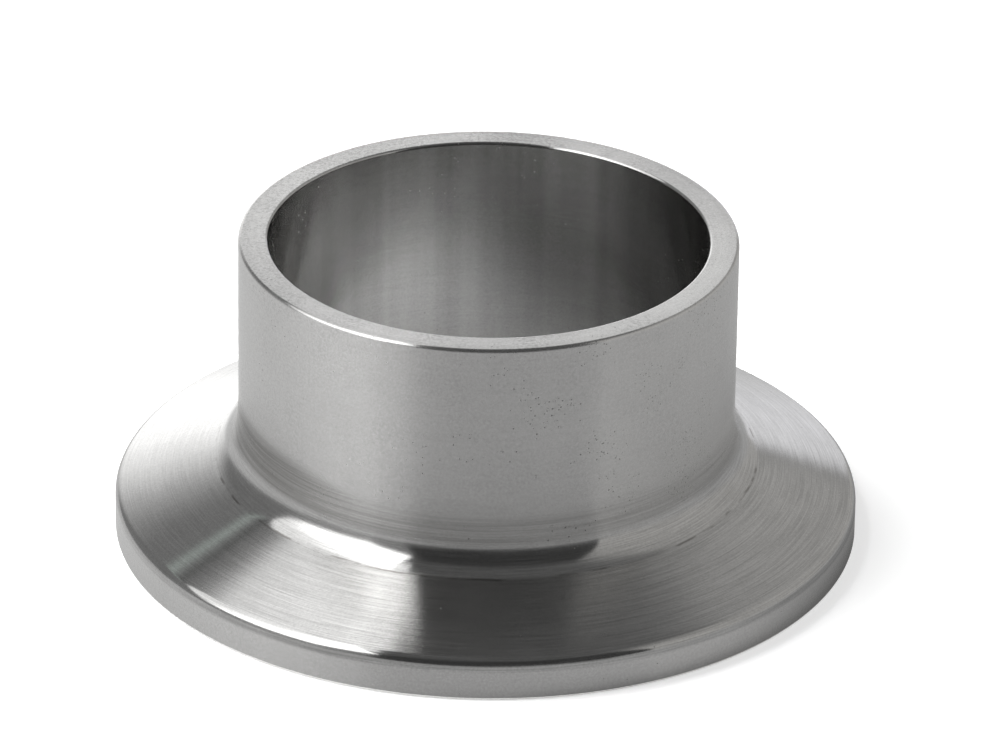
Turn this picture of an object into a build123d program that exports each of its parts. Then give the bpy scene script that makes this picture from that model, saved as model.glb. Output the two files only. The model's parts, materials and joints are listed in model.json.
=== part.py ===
from build123d import *

import os
from math import cos, radians, sin, tan

# Sanitary clamp ferrule: a short stub of tube that opens into a tapered clamp flange, turned from
# one piece of stainless steel. The flange stands on its flat sealing face and the tube points up,
# with its weld end at the top. Origin at the centre of the sealing face, +Z along the bore.
# Lengths in millimetres, angles in degrees.

# Tube stub
TUBE_DIAMETER = 33.7
TUBE_WALL = 2.0
OVERALL_HEIGHT = 21.5
WELD_END_OUTER_RADIUS = 0.25
WELD_END_INNER_RADIUS = 0.2

# Clamp flange
FLANGE_DIAMETER = 50.5
RIM_HEIGHT = 2.85  # from the sealing face to where the taper would meet the rim
TAPER_ANGLE = 20.0  # between the clamped face and the sealing face
RIM_TOP_RADIUS = 0.7
RIM_BASE_RADIUS = 0.2
BORE_MOUTH_RADIUS = 0.2

# Neck: a wide blend leaves the tube wall and tightens into a fillet, which meets the taper a
# few degrees too steep and leaves a fine turned line there
NECK_BLEND_RADIUS = 12.0
NECK_BLEND_TURN = 12.0
NECK_FILLET_RADIUS = 2.4
NECK_LINE_ANGLE = 5.0

# Half-round gasket groove in the sealing face
GROOVE_INSET = 3.5  # from the rim to the middle of the groove
GROOVE_RADIUS = 1.6
GROOVE_EDGE_RADIUS = 0.2

# Sizes that follow
tube_radius = TUBE_DIAMETER / 2
bore_radius = tube_radius - TUBE_WALL
flange_radius = FLANGE_DIAMETER / 2
groove_centre = flange_radius - GROOVE_INSET


def taper_height(radius):
    """Height of the clamped face, a straight cone, at a distance from the axis."""
    return RIM_HEIGHT + (flange_radius - radius) * tan(radians(TAPER_ANGLE))


def neck_arcs():
    """The two arcs of the neck in half section, from the turned line up to the tube wall."""
    rise = TAPER_ANGLE + NECK_LINE_ANGLE
    fillet_turn = 90 - NECK_BLEND_TURN - rise
    blend_width = NECK_BLEND_RADIUS * (1 - cos(radians(NECK_BLEND_TURN)))
    fillet_width = NECK_FILLET_RADIUS * (cos(radians(NECK_BLEND_TURN)) - sin(radians(rise)))
    line_radius = tube_radius + blend_width + fillet_width
    neck_fillet = JernArc(
        start=(line_radius, taper_height(line_radius)),
        tangent=(-cos(radians(rise)), sin(radians(rise))),
        radius=NECK_FILLET_RADIUS,
        arc_size=-fillet_turn,
    )
    neck_blend = JernArc(
        start=neck_fillet @ 1,
        tangent=neck_fillet % 1,
        radius=NECK_BLEND_RADIUS,
        arc_size=-NECK_BLEND_TURN,
    )
    return neck_fillet, neck_blend


def rounded(section, corner, radius):
    """Round the corner of a section that is nearest to a point."""
    vertex = section.vertices().sort_by_distance(corner)[0]
    return fillet(vertex, radius)


def blank_section():
    """Half section of the turned blank, with X as the distance from the axis and Y as height."""
    neck_fillet, neck_blend = neck_arcs()
    flange = Polyline(
        (bore_radius, 0), (flange_radius, 0), (flange_radius, RIM_HEIGHT), neck_fillet @ 0
    )
    tube = Polyline(
        neck_blend @ 1, (tube_radius, OVERALL_HEIGHT), (bore_radius, OVERALL_HEIGHT), (bore_radius, 0)
    )
    section = make_face(flange + neck_fillet + neck_blend + tube)
    section = rounded(section, (bore_radius, 0), BORE_MOUTH_RADIUS)
    section = rounded(section, (flange_radius, 0), RIM_BASE_RADIUS)
    section = rounded(section, (flange_radius, RIM_HEIGHT), RIM_TOP_RADIUS)
    section = rounded(section, (tube_radius, OVERALL_HEIGHT), WELD_END_OUTER_RADIUS)
    return rounded(section, (bore_radius, OVERALL_HEIGHT), WELD_END_INNER_RADIUS)


def cut_groove(section):
    """Take the gasket groove out of the sealing face and round its two edges."""
    section -= Pos(groove_centre, 0) * Circle(GROOVE_RADIUS)
    section = rounded(section, (groove_centre - GROOVE_RADIUS, 0), GROOVE_EDGE_RADIUS)
    return rounded(section, (groove_centre + GROOVE_RADIUS, 0), GROOVE_EDGE_RADIUS)


def clamp_ferrule():
    """The whole ferrule: its half section turned about the bore axis."""
    return revolve(Plane.XZ * cut_groove(blank_section()), Axis.Z)


os.makedirs("parts", exist_ok=True)
export_step(clamp_ferrule(), "parts/clamp_ferrule.step")
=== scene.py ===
import json
import math

import bpy
from mathutils import Matrix, Vector


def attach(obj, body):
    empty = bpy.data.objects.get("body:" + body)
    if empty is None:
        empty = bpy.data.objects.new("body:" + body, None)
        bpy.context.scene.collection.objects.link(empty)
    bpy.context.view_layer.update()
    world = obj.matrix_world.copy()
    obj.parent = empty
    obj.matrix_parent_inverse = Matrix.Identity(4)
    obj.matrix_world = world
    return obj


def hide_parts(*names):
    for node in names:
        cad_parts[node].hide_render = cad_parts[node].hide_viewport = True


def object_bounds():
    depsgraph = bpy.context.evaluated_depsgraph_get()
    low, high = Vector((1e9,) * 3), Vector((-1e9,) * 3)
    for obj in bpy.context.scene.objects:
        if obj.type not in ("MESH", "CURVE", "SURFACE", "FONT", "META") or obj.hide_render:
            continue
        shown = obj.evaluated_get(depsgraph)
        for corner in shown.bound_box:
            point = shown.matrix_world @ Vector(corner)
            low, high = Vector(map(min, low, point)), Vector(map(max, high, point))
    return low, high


# Sanitary clamp ferrule, one turned piece of stainless steel on a pale floor. Lengths in metres,
# angles in degrees. The ferrule stands on its sealing face at the origin, with its bore along +Z.

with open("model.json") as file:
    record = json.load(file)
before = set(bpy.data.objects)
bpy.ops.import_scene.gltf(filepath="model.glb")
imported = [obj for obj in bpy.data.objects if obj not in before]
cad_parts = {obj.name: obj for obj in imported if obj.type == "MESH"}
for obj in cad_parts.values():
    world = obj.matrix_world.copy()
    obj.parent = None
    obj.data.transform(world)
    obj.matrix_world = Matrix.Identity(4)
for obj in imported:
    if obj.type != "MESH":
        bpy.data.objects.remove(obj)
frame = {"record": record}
cad_low, cad_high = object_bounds()

NODE = "clamp_ferrule"
MM = 0.001
MOUNTS = {mount["name"]: mount for mount in frame["record"]["mounts"]}

# The ferrule's main sizes, from the frame
HEIGHT = cad_high.z - cad_low.z
FLANGE_RADIUS = cad_high.x
TUBE_RADIUS = MOUNTS["tube_end"]["dims"]["r_mm"] * MM
BORE_RADIUS = MOUNTS["bore"]["dims"]["r_mm"] * MM
RIM_HEIGHT = MOUNTS["clamp_taper"]["pos_m"][2]

# Its other sizes, which repeat the solid's
TAPER_ANGLE = 20.0
RIM_TOP_RADIUS = 0.7 * MM
RIM_BASE_RADIUS = 0.2 * MM
BORE_MOUTH_RADIUS = 0.2 * MM
WELD_END_OUTER_RADIUS = 0.25 * MM
WELD_END_INNER_RADIUS = 0.2 * MM
NECK_BLEND_RADIUS = 12.0 * MM
NECK_BLEND_TURN = 12.0
NECK_FILLET_RADIUS = 2.4 * MM
NECK_LINE_ANGLE = 5.0
NECK_LINE_WIDTH = 0.08 * MM
BLEND_WIDTH = NECK_BLEND_RADIUS * (1 - math.cos(math.radians(NECK_BLEND_TURN)))
FILLET_END = 90 - TAPER_ANGLE - NECK_LINE_ANGLE
FILLET_WIDTH = NECK_FILLET_RADIUS * (
    math.cos(math.radians(NECK_BLEND_TURN)) - math.cos(math.radians(FILLET_END))
)
NECK_LINE_RADIUS = TUBE_RADIUS + BLEND_WIDTH + FILLET_WIDTH
NECK_LINE_Z = RIM_HEIGHT + (FLANGE_RADIUS - NECK_LINE_RADIUS) * math.tan(math.radians(TAPER_ANGLE))
FILLET_TOP = NECK_LINE_Z + NECK_FILLET_RADIUS * (
    math.sin(math.radians(FILLET_END)) - math.sin(math.radians(NECK_BLEND_TURN))
)
BLEND_TOP = FILLET_TOP + NECK_BLEND_RADIUS * math.sin(math.radians(NECK_BLEND_TURN))
GROOVE_INSET = 3.5 * MM
GROOVE_CENTRE = FLANGE_RADIUS - GROOVE_INSET
GROOVE_RADIUS = 1.6 * MM
GROOVE_EDGE_RADIUS = 0.2 * MM

# Mesh density
LATHE_STEPS = 640
TENT_STEPS = 48
ARC_STEP = 6.0  # degrees of arc for each step of the profile
SAME_POINT = 0.0001 * MM

# Steel: reflectance of its surfaces and of what lies on them
TURNED_DARK = (0.38, 0.378, 0.372, 1.0)
TURNED_LIGHT = (0.57, 0.567, 0.56, 1.0)
# The tube wall and the rim take a lighter steel than the turned surfaces: painted light, standing in
# for the brighter reflections they show
PLAIN_LIT_DARK = (0.6, 0.596, 0.588, 1.0)
PLAIN_LIT_LIGHT = (0.7, 0.696, 0.688, 1.0)
STAIN = (0.2, 0.198, 0.195, 1.0)
# Colour of the streaky dark band where the tube wall turns into the neck
NECK_BAND_COLOUR = (0.17, 0.165, 0.155, 1.0)
CREASE_DIRT = (0.1, 0.09, 0.08, 1.0)
PIT_DARK = (0.12, 0.115, 0.11, 1.0)

# Steel: roughness of the taper and the bore, and how much the rest is rougher
ROUGHNESS = 0.14
WALL_ROUGHER = 0.11
FACE_ROUGHER = 0.06
RIM_ROUGHER = 0.1
PIT_ROUGHER = 0.2
MARK_DEPTH = 0.6e-6

# Steel: its marks, and the sides that have most or least of them, as azimuth and spread
FINE_RINGS_PER_MM = 9.0
COARSE_RINGS_PER_MM = 2.2
NECK_BAND_STREAKS_PER_MM = 8.0
PIT_PITCH = 0.22 * MM
PIT_SIZE = 0.16 * MM
LARGE_PIT_PITCH = 0.8 * MM
LARGE_PIT_SIZE = 0.26 * MM
PITTED_SIDE = (45.0, 60.0)
STAINED_SIDE = (-115.0, 70.0)
NECK_BAND_SIDE = (-66.0, 40.0)
CALM_SIDE = (-95.0, 60.0)

# Camera
CAMERA_ELEVATION = 27.13
CAMERA_DISTANCE = 0.538
CAMERA_ROLL = 0.75
LENS_MM = 285.5
AIM_HEIGHT = 0.01
AIM_SIDE = 0.00089  # the aim point lies this far right of the axis and above AIM_HEIGHT

# Studio. An azimuth of 0 is the camera's side and 90 the right.
FLOOR_SIZE = 8.0
FLOOR_ALBEDO = 0.8
FLOOR_GLOW = 0.46
WORLD_LEVEL = 0.48
TENT_RADIUS = 3.0
TENT_LEVEL = 0.27
TABLE_LEVEL = 0.5
TABLE_SHEET_HEIGHT = 0.2 * MM
WHITE = (1.0, 1.0, 1.0)
WARM = (1.0, 0.985, 0.96)
COOL = (0.97, 0.97, 1.0)
PALE_GREEN = (0.9, 1.0, 0.95)


# ---------------------------------------------------------------- shader helpers
class Graph:
    """Short calls for building a node tree; a socket or a plain number can go into any input."""

    def __init__(self, tree):
        self.tree = tree
        tree.nodes.clear()

    def node(self, kind, inputs=(), **settings):
        made = self.tree.nodes.new(kind)
        for name, value in settings.items():
            setattr(made, name, value)
        for name, value in dict(inputs).items():
            if isinstance(value, bpy.types.NodeSocket):
                self.tree.links.new(value, made.inputs[name])
            else:
                made.inputs[name].default_value = value
        return made

    def math(self, operation, a, b=0.0):
        return self.node("ShaderNodeMath", {0: a, 1: b}, operation=operation).outputs[0]

    def add(self, a, b):
        return self.math("ADD", a, b)

    def minus(self, a, b):
        return self.math("SUBTRACT", a, b)

    def times(self, a, b):
        return self.math("MULTIPLY", a, b)

    def larger(self, a, b):
        return self.math("MAXIMUM", a, b)

    def total(self, first, *others):
        for other in others:
            first = self.add(first, other)
        return first

    def swing(self, noise, strength):
        """A noise's swing about its middle value, times a strength."""
        return self.times(self.minus(noise, 0.5), strength)

    def ramp(self, value, start, end, low=0.0, high=1.0):
        """Smooth step of a value from low at start to high at end."""
        made = self.node(
            "ShaderNodeMapRange",
            {"Value": value, "From Min": start, "From Max": end, "To Min": low, "To Max": high},
            interpolation_type="SMOOTHSTEP",
        )
        return made.outputs[0]

    def vector(self, x, y, z):
        return self.node("ShaderNodeCombineXYZ", {"X": x, "Y": y, "Z": z}).outputs[0]

    def noise(self, vector, scale=1.0, detail=2.0, roughness=0.5):
        made = self.node(
            "ShaderNodeTexNoise",
            {"Vector": vector, "Scale": scale, "Detail": detail, "Roughness": roughness},
        )
        return made.outputs[0]

    def mix(self, factor, a, b):
        """Blend of two colours."""
        made = self.node("ShaderNodeMix", {0: factor, 6: a, 7: b}, data_type="RGBA")
        return made.outputs[2]


def new_material(name):
    material = bpy.data.materials.new(name)
    material.use_nodes = True
    return material, Graph(material.node_tree)


class Around:
    """Where a shaded point lies: its coordinates, its distance from the axis, and the side of the
    axis that it lies on."""

    def __init__(self, g):
        self.position = g.node("ShaderNodeTexCoord").outputs["Object"]
        self.x, self.y, self.z = g.node("ShaderNodeSeparateXYZ", {"Vector": self.position}).outputs
        self.radius = g.math("SQRT", g.add(g.times(self.x, self.x), g.times(self.y, self.y)))
        self.side_x = g.math("DIVIDE", self.x, self.radius)
        self.side_y = g.math("DIVIDE", self.y, self.radius)


# ---------------------------------------------------------------- steel
class Places(Around):
    """Where a shaded point lies on the ferrule, with masks for the surfaces."""

    def __init__(self, g):
        super().__init__(g)
        self.along = g.minus(self.radius, self.z)
        self.on_face = g.ramp(self.z, HEIGHT - 0.1 * MM, HEIGHT - 0.02 * MM)
        self.in_bore = g.times(
            g.ramp(self.radius, BORE_RADIUS + 0.05 * MM, BORE_RADIUS + 0.15 * MM, 1.0, 0.0),
            g.minus(1.0, self.on_face),
        )
        self.on_wall = g.times(
            g.ramp(self.radius, TUBE_RADIUS + 0.02 * MM, TUBE_RADIUS + 0.35 * MM, 1.0, 0.0),
            g.ramp(self.radius, TUBE_RADIUS - 0.15 * MM, TUBE_RADIUS - 0.02 * MM),
        )
        self.on_rim = g.times(
            g.ramp(self.radius, FLANGE_RADIUS - 0.1 * MM, FLANGE_RADIUS - 0.01 * MM),
            g.ramp(self.z, RIM_HEIGHT - 0.9 * MM, RIM_HEIGHT - 0.6 * MM, 1.0, 0.0),
        )
        self.plain = g.larger(self.on_wall, self.on_rim)
        self.outside = g.ramp(self.radius, TUBE_RADIUS - 0.5 * MM, TUBE_RADIUS - 0.4 * MM)


def towards(g, at, azimuth, spread):
    """1 on the side that faces an azimuth, fading to 0 at some spread on either side of it."""
    a = math.radians(azimuth)
    facing = g.add(g.times(at.side_x, math.sin(a)), g.times(at.side_y, -math.cos(a)))
    return g.ramp(facing, math.cos(math.radians(spread)), 1.0)


def rings(g, at, per_mm, arcs, detail, roughness=0.6):
    """Noise drawn out round the axis: per_mm marks in a millimetre, and arcs to a radian."""
    where = g.vector(g.times(at.side_x, arcs), g.times(at.side_y, arcs), g.times(at.along, per_mm / MM))
    return g.noise(where, detail=detail, roughness=roughness)


def specks(g, at, pitch, size, share):
    """Scattered round specks: one to a cell of some pitch, in a share of the cells, each up to a
    size across."""
    cells = g.node("ShaderNodeTexVoronoi", {"Vector": at.position, "Scale": 1.0 / pitch}).outputs
    chance, girth, _ = g.node("ShaderNodeSeparateColor", {"Color": cells["Color"]}).outputs
    edge = g.times(g.add(g.times(girth, 0.6), 0.4), size / pitch / 2)
    spot = g.ramp(cells["Distance"], g.times(edge, 0.5), edge, 1.0, 0.0)
    return g.times(spot, g.math("LESS_THAN", chance, share))


def pits(g, at):
    """Small dark pits, in clusters on the tube wall and the end face and rare elsewhere."""
    clusters = g.ramp(g.noise(at.position, scale=260.0, detail=2.0), 0.49, 0.63)
    on_wall = g.times(at.on_wall, g.add(g.times(towards(g, at, *PITTED_SIDE), 0.8), 0.2))
    where = g.total(on_wall, g.times(at.on_face, 0.6), g.times(at.in_bore, 0.15), 0.03)
    share = g.times(clusters, where)
    fine = specks(g, at, PIT_PITCH, PIT_SIZE, g.times(share, 0.8))
    large = specks(g, at, LARGE_PIT_PITCH, LARGE_PIT_SIZE, g.times(share, 0.15))
    return g.larger(g.times(fine, 0.8), large)


def stains(g, at):
    """Faint grey mottling, strongest on the end face and at its left, and a film on that face."""
    blotches = g.ramp(g.noise(at.position, scale=4200.0, detail=3.0, roughness=0.7), 0.42, 0.7)
    areas = g.ramp(g.noise(at.position, scale=300.0, detail=2.0), 0.42, 0.62, 0.15, 1.0)
    left = towards(g, at, *STAINED_SIDE)
    strength = g.total(g.times(at.on_face, 0.4), g.times(at.on_wall, 0.1), 0.02)
    spots = g.times(g.times(blotches, g.larger(areas, left)), strength)
    outer = g.ramp(at.radius, TUBE_RADIUS - 0.9 * MM, TUBE_RADIUS - 0.4 * MM)
    film = g.times(at.on_face, g.add(g.times(left, 0.08), g.times(outer, 0.1)))
    return g.add(spots, film)


def neck_dark_band(g, at):
    """Streaky dark band where the tube wall turns into the neck, highest and heaviest at the
    front left."""
    left = towards(g, at, *NECK_BAND_SIDE)
    top = g.add(BLEND_TOP + 0.3 * MM, g.times(left, 1.0 * MM))
    band = g.ramp(g.minus(top, at.z), 0.0, 1.6 * MM)
    band = g.times(band, g.ramp(at.z, FILLET_TOP - 0.1 * MM, FILLET_TOP + 0.5 * MM))
    streaks = g.ramp(rings(g, at, NECK_BAND_STREAKS_PER_MM, 1.5, 2.0), 0.3, 0.7, 0.22, 0.48)
    amount = g.add(streaks, g.times(left, 0.25))
    return g.times(g.times(band, at.outside), amount)


def crease_dirt(g, at):
    """Thin broken dark line where the neck meets the taper."""
    offset = g.swing(g.noise(at.position, scale=500.0), 0.25 * MM)
    away = g.math("ABSOLUTE", g.minus(at.radius, g.add(offset, NECK_LINE_RADIUS)))
    line = g.ramp(away, 0.03 * MM, 0.1 * MM, 1.0, 0.0)
    breaks = g.ramp(g.noise(at.position, scale=350.0, detail=3.0), 0.45, 0.6)
    above = g.ramp(at.z, RIM_HEIGHT, RIM_HEIGHT + 0.5 * MM)
    return g.times(g.times(line, breaks), g.times(above, 0.6))


class Marks:
    """The steel's marks, as noises, with bands round the axis that in the bore are painted reflections,
    and how strongly each place shows its turning marks.
    """

    def __init__(self, g, at):
        self.fine = rings(g, at, FINE_RINGS_PER_MM, 4.0, 3.0, 0.7)
        self.coarse = rings(g, at, COARSE_RINGS_PER_MM, 2.4, 2.0)
        self.patches = g.noise(at.position, scale=160.0, detail=3.0)
        self.grain = g.noise(at.position, scale=6500.0, detail=2.0, roughness=0.6)
        # Up-and-down bands round the axis: a faint tone that differs round the steel, and stronger in
        # the bore, where they are painted reflections
        around = g.vector(g.times(at.side_x, 7.0), g.times(at.side_y, 7.0), 0.0)
        self.tone_and_reflection_bands = g.noise(around, detail=2.0)
        self.holes = pits(g, at)
        smooth = g.larger(at.plain, g.larger(at.in_bore, at.on_face))
        self.turned = g.minus(1.0, g.times(smooth, 0.75))


def steel_relief(g, marks):
    """Bumped normal: shallow turning marks and deeper pits."""
    relief = g.add(g.times(marks.fine, 0.95), g.times(marks.coarse, 0.45))
    relief = g.minus(g.times(relief, marks.turned), g.times(marks.holes, 5.0))
    bump = g.node("ShaderNodeBump", {"Strength": 1.0, "Distance": MARK_DEPTH, "Height": relief})
    return bump.outputs[0]


def steel_roughness(g, at, marks):
    return g.total(
        ROUGHNESS,
        g.swing(marks.coarse, 0.04),
        g.swing(marks.patches, 0.02),
        g.times(at.on_wall, WALL_ROUGHER),
        g.times(at.on_face, FACE_ROUGHER),
        g.times(at.on_rim, RIM_ROUGHER),
        g.times(marks.holes, PIT_ROUGHER),
    )


def steel_colour(g, at, marks):
    """Bare steel between its dark and light tones, lighter on the tube wall and the rim as painted
    light, then stains, the dark band at the neck, the crease line and pits.
    """
    calm = g.ramp(towards(g, at, *CALM_SIDE), 0.0, 0.6, 2.6, 1.4)
    tone = g.total(
        0.5,
        g.swing(marks.fine, g.times(marks.turned, calm)),
        g.swing(marks.grain, g.add(1.0, at.plain)),
        g.swing(marks.patches, 0.6),
        # The bands: a faint tone, and painted reflections in the bore
        g.swing(marks.tone_and_reflection_bands, g.add(g.times(at.in_bore, 1.2), 0.4)),
    )
    turned = g.mix(tone, TURNED_DARK, TURNED_LIGHT)
    # Lighter steel on the tube wall and the rim: painted light
    plain = g.mix(tone, PLAIN_LIT_DARK, PLAIN_LIT_LIGHT)
    colour = g.mix(at.plain, turned, plain)
    colour = g.mix(stains(g, at), colour, STAIN)
    colour = g.mix(neck_dark_band(g, at), colour, NECK_BAND_COLOUR)
    colour = g.mix(crease_dirt(g, at), colour, CREASE_DIRT)
    return g.mix(g.times(marks.holes, 0.4), colour, PIT_DARK)


def turned_steel():
    """Turned stainless steel: satin marks that run round the axis, pits and faint stains. The
    tangent and its quarter turn smear reflections across the marks."""
    material, g = new_material("turned_stainless_steel")
    at = Places(g)
    marks = Marks(g, at)
    shader = g.node(
        "ShaderNodeBsdfPrincipled",
        {
            "Base Color": steel_colour(g, at, marks),
            "Metallic": 1.0,
            "Roughness": steel_roughness(g, at, marks),
            "Anisotropic": 1.0,
            "Anisotropic Rotation": 0.25,
            "Normal": steel_relief(g, marks),
            "Tangent": g.node("ShaderNodeTangent", direction_type="RADIAL", axis="Z").outputs[0],
        },
    )
    g.node("ShaderNodeOutputMaterial", {"Surface": shader.outputs[0]})
    return material


# ---------------------------------------------------------------- the ferrule's surface
class Profile:
    """Closed half section, as points (distance from the axis, height) with their outward normals.
    It is drawn clockwise seen with the axis at the left, so the outside lies to its left."""

    def __init__(self):
        self.points = []
        self.normals = []

    def point(self, radius, z, facing):
        """One point, whose normal is tilted by an angle above the outward horizontal. A point that
        falls on the last one is left out."""
        if self.points and math.dist(self.points[-1], (radius, z)) < SAME_POINT:
            return
        a = math.radians(facing)
        self.points.append((radius, z))
        self.normals.append((math.cos(a), math.sin(a)))

    def arc(self, centre, size, start, end, hollow=False):
        """Arc whose normal turns from start to end; a hollow arc's centre lies outside the metal."""
        steps = max(2, math.ceil(abs(end - start) / ARC_STEP))
        side = -1.0 if hollow else 1.0
        for i in range(steps + 1):
            facing = start + (end - start) * i / steps
            a = math.radians(facing)
            r = centre[0] + side * size * math.cos(a)
            z = centre[1] + side * size * math.sin(a)
            self.point(r, z, facing)


def ferrule_profile():
    """The ferrule's half section, from the bore over the weld end and down the outside."""
    p = Profile()
    inner = WELD_END_INNER_RADIUS
    outer = WELD_END_OUTER_RADIUS
    p.arc((BORE_RADIUS + inner, HEIGHT - inner), inner, 180, 90)
    p.arc((TUBE_RADIUS - outer, HEIGHT - outer), outer, 90, 0)

    blend_centre = (TUBE_RADIUS + NECK_BLEND_RADIUS, BLEND_TOP)
    p.arc(blend_centre, NECK_BLEND_RADIUS, 0, NECK_BLEND_TURN, hollow=True)
    fillet_centre = (
        NECK_LINE_RADIUS + NECK_FILLET_RADIUS * math.cos(math.radians(FILLET_END)),
        NECK_LINE_Z + NECK_FILLET_RADIUS * math.sin(math.radians(FILLET_END)),
    )
    p.arc(fillet_centre, NECK_FILLET_RADIUS, NECK_BLEND_TURN, FILLET_END, hollow=True)

    taper_facing = 90 - TAPER_ANGLE
    cos_taper = math.cos(math.radians(TAPER_ANGLE))
    tan_taper = math.tan(math.radians(TAPER_ANGLE))
    line_foot = NECK_LINE_Z - NECK_LINE_WIDTH * tan_taper
    p.point(NECK_LINE_RADIUS + NECK_LINE_WIDTH, line_foot, taper_facing)
    rim_centre_r = FLANGE_RADIUS - RIM_TOP_RADIUS
    rim_centre_z = RIM_HEIGHT + RIM_TOP_RADIUS * tan_taper - RIM_TOP_RADIUS / cos_taper
    p.arc((rim_centre_r, rim_centre_z), RIM_TOP_RADIUS, taper_facing, 0)
    base = RIM_BASE_RADIUS
    p.arc((FLANGE_RADIUS - base, base), base, 0, -90)
    groove_edges(p)
    mouth = BORE_MOUTH_RADIUS
    p.arc((BORE_RADIUS + mouth, mouth), mouth, -90, -180)
    return p


def groove_edges(p):
    """The half-round gasket groove in the sealing face, crossed from the rim towards the bore."""
    edge = GROOVE_EDGE_RADIUS
    reach = math.sqrt((GROOVE_RADIUS + edge) ** 2 - edge**2)
    tilt = math.degrees(math.asin(edge / (GROOVE_RADIUS + edge)))
    p.arc((GROOVE_CENTRE + reach, edge), edge, -90, -180 + tilt)
    p.arc((GROOVE_CENTRE, 0.0), GROOVE_RADIUS, -180 + tilt, -tilt, hollow=True)
    p.arc((GROOVE_CENTRE - reach, edge), edge, -tilt, -90)


def lathe(name, profile, steps, closed=True):
    """Mesh turned from a profile about the Z axis, with smooth shading from exact normals."""
    rings = len(profile.points)
    vertices, normals, faces = [], [], []
    for i in range(steps):
        a = 2 * math.pi * i / steps
        c, s = math.cos(a), math.sin(a)
        vertices += [(r * c, r * s, z) for r, z in profile.points]
        normals += [(nr * c, nr * s, nz) for nr, nz in profile.normals]
    last = rings if closed else rings - 1
    for i in range(steps):
        here, there = i * rings, (i + 1) % steps * rings
        for j in range(last):
            k = (j + 1) % rings
            faces.append((here + j, here + k, there + k, there + j))
    mesh = bpy.data.meshes.new(name)
    mesh.from_pydata(vertices, [], faces)
    mesh.shade_smooth()
    mesh.normals_split_custom_set_from_vertices(normals)
    made = bpy.data.objects.new(name, mesh)
    bpy.context.scene.collection.objects.link(made)
    return made


def ferrule():
    """The turned surface that stands for the CAD solid, finely enough for clean reflections."""
    piece = lathe("turned_ferrule", ferrule_profile(), LATHE_STEPS)
    piece.data.materials.append(turned_steel())
    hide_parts(NODE)
    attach(piece, "root")


# ---------------------------------------------------------------- studio
def seen_ray(g):
    """1 for a ray from the camera, or one that a shiny or clear surface sends on, otherwise 0."""
    path = g.node("ShaderNodeLightPath").outputs
    return g.larger(g.larger(path["Is Camera Ray"], path["Is Glossy Ray"]), path["Is Transmission Ray"])


def sky():
    """World: a plain soft level for lighting, white behind the object and in its reflections."""
    world = bpy.data.worlds.new("studio")
    world.use_nodes = True
    g = Graph(world.node_tree)
    level = g.ramp(seen_ray(g), 0.0, 1.0, WORLD_LEVEL, 1.0)
    background = g.node("ShaderNodeBackground", {"Color": (*WHITE, 1.0), "Strength": level})
    g.node("ShaderNodeOutputWorld", {"Surface": background.outputs[0]})
    bpy.context.scene.world = world


def flat_panel(name, corners, material):
    """A flat four-cornered sheet that belongs to the studio."""
    mesh = bpy.data.meshes.new(name)
    mesh.from_pydata(corners, [], [(0, 1, 2, 3)])
    mesh.materials.append(material)
    uv = mesh.uv_layers.new(name="across")
    for loop, place in zip(uv.data, ((0, 0), (1, 0), (1, 1), (0, 1))):
        loop.uv = place
    panel = bpy.data.objects.new(name, mesh)
    bpy.context.scene.collection.objects.link(panel)
    return panel


def square(z):
    """Corners of the studio's ground at some height."""
    s = FLOOR_SIZE / 2
    return [(-s, -s, z), (s, -s, z), (s, s, z), (-s, s, z)]


def floor():
    """Pale floor that keeps the object's soft shadow and otherwise shows white. Inside the bore,
    only what the lamps and the sky send there lights it."""
    material, g = new_material("pale_floor")
    matte = g.node("ShaderNodeBsdfDiffuse", {"Color": (FLOOR_ALBEDO,) * 3 + (1.0,)})
    open_floor = g.ramp(Around(g).radius, BORE_RADIUS, FLANGE_RADIUS, 0.0, FLOOR_GLOW)
    glow = g.node("ShaderNodeEmission", {"Strength": g.times(seen_ray(g), open_floor)})
    both = g.node("ShaderNodeAddShader", {0: matte.outputs[0], 1: glow.outputs[0]})
    g.node("ShaderNodeOutputMaterial", {"Surface": both.outputs[0]})
    flat_panel("floor", square(cad_low.z), material)


def reflections_only(thing):
    """Hide a thing from every ray but those that a shiny surface sends on."""
    for ray in ("camera", "diffuse", "shadow", "transmission", "volume_scatter"):
        setattr(thing, f"visible_{ray}", False)


def glow(g, level, cover, colour=WHITE):
    """Material output that glows where its cover is 1 and is clear where that is 0."""
    shine = g.node("ShaderNodeEmission", {"Color": (*colour, 1.0), "Strength": level})
    clear = g.node("ShaderNodeBsdfTransparent")
    both = g.node("ShaderNodeMixShader", {0: cover, 1: clear.outputs[0], 2: shine.outputs[0]})
    g.node("ShaderNodeOutputMaterial", {"Surface": both.outputs[0]})


def card_material(name, level, colour, soft):
    """An evenly bright card. Its left, right, bottom and top edges fade over the shares in soft
    of its width and height."""
    material, g = new_material(name)
    across, up, _ = g.node(
        "ShaderNodeSeparateXYZ", {"Vector": g.node("ShaderNodeTexCoord").outputs["UV"]}
    ).outputs
    left, right, bottom, top = soft
    cover = 1.0
    for place, share, edge in ((across, left, 0), (across, right, 1), (up, bottom, 0), (up, top, 1)):
        if share:
            cover = g.times(cover, g.ramp(place, edge, abs(edge - share)))
    glow(g, level, cover, colour)
    return material


def standing_card(name, azimuths, elevations, distance, level, colour=WHITE, soft=(0.1,) * 4):
    """Upright card that only reflections see, between two azimuths and two elevations."""
    corners = []
    for azimuth, elevation in zip((0, 1, 1, 0), (0, 0, 1, 1)):
        a = math.radians(azimuths[azimuth])
        z = distance * math.tan(math.radians(elevations[elevation]))
        corners.append((distance * math.sin(a), -distance * math.cos(a), z))
    reflections_only(flat_panel(name, corners, card_material(name, level, colour, soft)))


def hanging_card(name, plan, height, level, soft):
    """Level card that only reflections see. Its plan's corners are given for a height of 1."""
    corners = [(x * height, y * height, height) for x, y in plan]
    reflections_only(flat_panel(name, corners, card_material(name, level, WHITE, soft)))


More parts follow.
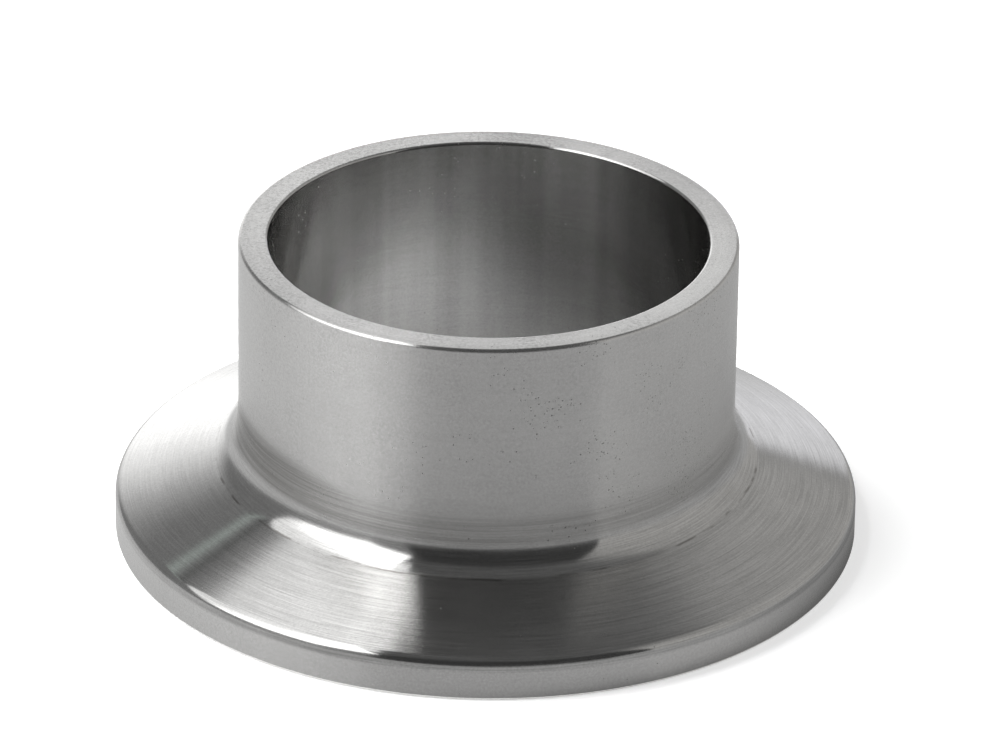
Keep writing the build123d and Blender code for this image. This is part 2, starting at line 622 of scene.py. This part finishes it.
def table_sheen():
    """What reflections see of the table round the object: brighter at the left and the back, and
    darker at the right close to the rim, where the object shades it."""
    material, g = new_material("table_sheen")
    at = Around(g)
    left = g.times(towards(g, at, -100.0, 95.0), 0.24)
    back = g.times(towards(g, at, 186.0, 32.0), 0.75)
    level = g.total(TABLE_LEVEL, left, back)
    contact = g.ramp(towards(g, at, 80.0, 120.0), 0.0, 1.0, 0.95, 0.4)
    shade = g.ramp(towards(g, at, 110.0, 80.0), 0.0, 1.0, 1.0, 0.6)
    level = g.times(level, g.ramp(at.radius, FLANGE_RADIUS, FLANGE_RADIUS + 2 * MM, contact, 1.0))
    level = g.times(level, g.ramp(at.radius, FLANGE_RADIUS, FLANGE_RADIUS + 18 * MM, shade, 1.0))
    glow(g, level, g.ramp(at.radius, FLANGE_RADIUS - 0.3 * MM, FLANGE_RADIUS))
    reflections_only(flat_panel("table_sheen", square(cad_low.z + TABLE_SHEET_HEIGHT), material))


def tent():
    """Grey fabric tent around the table, which only reflections see."""
    profile = Profile()
    for elevation in range(0, 91, 5):
        a = math.radians(elevation)
        profile.point(TENT_RADIUS * math.cos(a), TENT_RADIUS * math.sin(a), elevation + 180)
    dome = lathe("tent", profile, TENT_STEPS, closed=False)
    dome.data.materials.append(card_material("tent", TENT_LEVEL, WHITE, (0, 0, 0, 0)))
    reflections_only(dome)


def lamp(name, azimuth, elevation, distance, size, watts):
    """Large soft area lamp aimed at the object, hidden from the camera and from reflections."""
    light = bpy.data.lights.new(name, "AREA")
    light.shape = "DISK"
    light.size = size
    light.energy = watts
    made = bpy.data.objects.new(name, light)
    a = math.radians(azimuth)
    e = math.radians(elevation)
    out = Vector((math.sin(a) * math.cos(e), -math.cos(a) * math.cos(e), math.sin(e)))
    made.location = out * distance
    made.rotation_mode = "QUATERNION"
    made.rotation_quaternion = out.to_track_quat("Z", "Y")
    made.visible_camera = False
    made.visible_glossy = False
    bpy.context.scene.collection.objects.link(made)


def camera():
    """Long lens at the photographed angle, aimed a little off the axis so as to frame it."""
    data = bpy.data.cameras.new("camera")
    data.lens = LENS_MM
    data.sensor_width = 36.0
    data.clip_start = 0.01
    made = bpy.data.objects.new("camera", data)
    bpy.context.scene.collection.objects.link(made)
    e = math.radians(CAMERA_ELEVATION)
    roll = math.radians(CAMERA_ROLL)
    target = Vector((0.0, 0.0, AIM_HEIGHT))
    back = Vector((0.0, -math.cos(e), math.sin(e)))
    level = Vector((1.0, 0.0, 0.0))
    up = back.cross(level) * math.cos(roll) - level * math.sin(roll)
    made.location = target + back * CAMERA_DISTANCE
    look = (target + (up.cross(back) + up) * AIM_SIDE - made.location).normalized()
    right = look.cross(up).normalized()
    made.rotation_euler = Matrix((right, right.cross(look), -look)).transposed().to_euler()
    bpy.context.scene.camera = made


def hanging_cards():
    """The overhead softbox with the dimmer light that it spills, and the flag that darkens the
    front of the taper."""
    softbox = [(-4.3, -3.0), (-0.7, -1.05), (-0.17, 0.46), (-4.3, 0.3)]
    hanging_card("overhead_softbox", softbox, 0.9, 3.3, (0.1, 0.006, 0.05, 0.26))
    spill = [(-2.9, -0.4), (-0.387, -0.4), (0.03, 0.9), (-2.9, 0.15)]
    hanging_card("softbox_spill", spill, 0.95, 1.5, (0.2, 0.01, 0.0, 0.12))
    top_flag = [(-0.9, -1.4), (0.95, -1.4), (0.95, 0.62), (-0.9, 0.62)]
    hanging_card("top_flag", top_flag, 1.1, 0.14, (0, 0.42, 0, 0.1))


def standing_cards():
    """A dark flag behind the camera, a fading panel at the right, bright cards at the back, and a
    lit strip with a dark slot above it at the back left."""
    standing_card("front_flag", (-35, 50), (-3, 52), 1.0, 0.06, soft=(0.08, 0.02, 0, 0))
    standing_card("right_panel", (46, 162), (-3, 57), 1.4, 0.55, WARM, (0, 0.1, 0, 0.85))
    standing_card("back_middle", (160, 200), (6, 50), 1.3, 0.98, soft=(0.2, 0.2, 0, 0.1))
    standing_card("back_right", (156, 184), (-2, 18), 1.2, 1.15, COOL, (0.12, 0, 0, 0.2))
    standing_card("back_left", (180, 222), (-2, 34), 1.1, 2.15, soft=(0, 0.75, 0, 0.7))
    standing_card("left_strip", (190, 240), (36.2, 39), 1.0, 0.62, PALE_GREEN, (0.1, 0.1, 0.5, 0.5))
    standing_card("left_slot", (190, 240), (38.7, 41.2), 0.98, 0.12, soft=(0.1, 0.1, 0.5, 0.5))


def studio():
    """Floor, world and lamp, and what the steel reflects besides them."""
    sky()
    floor()
    tent()
    lamp("key", azimuth=-96.0, elevation=53.0, distance=0.8, size=0.55, watts=7.2)
    hanging_cards()
    standing_cards()
    table_sheen()


camera()
studio()
ferrule()

bpy.context.scene.view_settings.view_transform = "Standard"
bpy.context.scene.cycles.glossy_bounces = 10  # the bore's sides need more than the usual 4
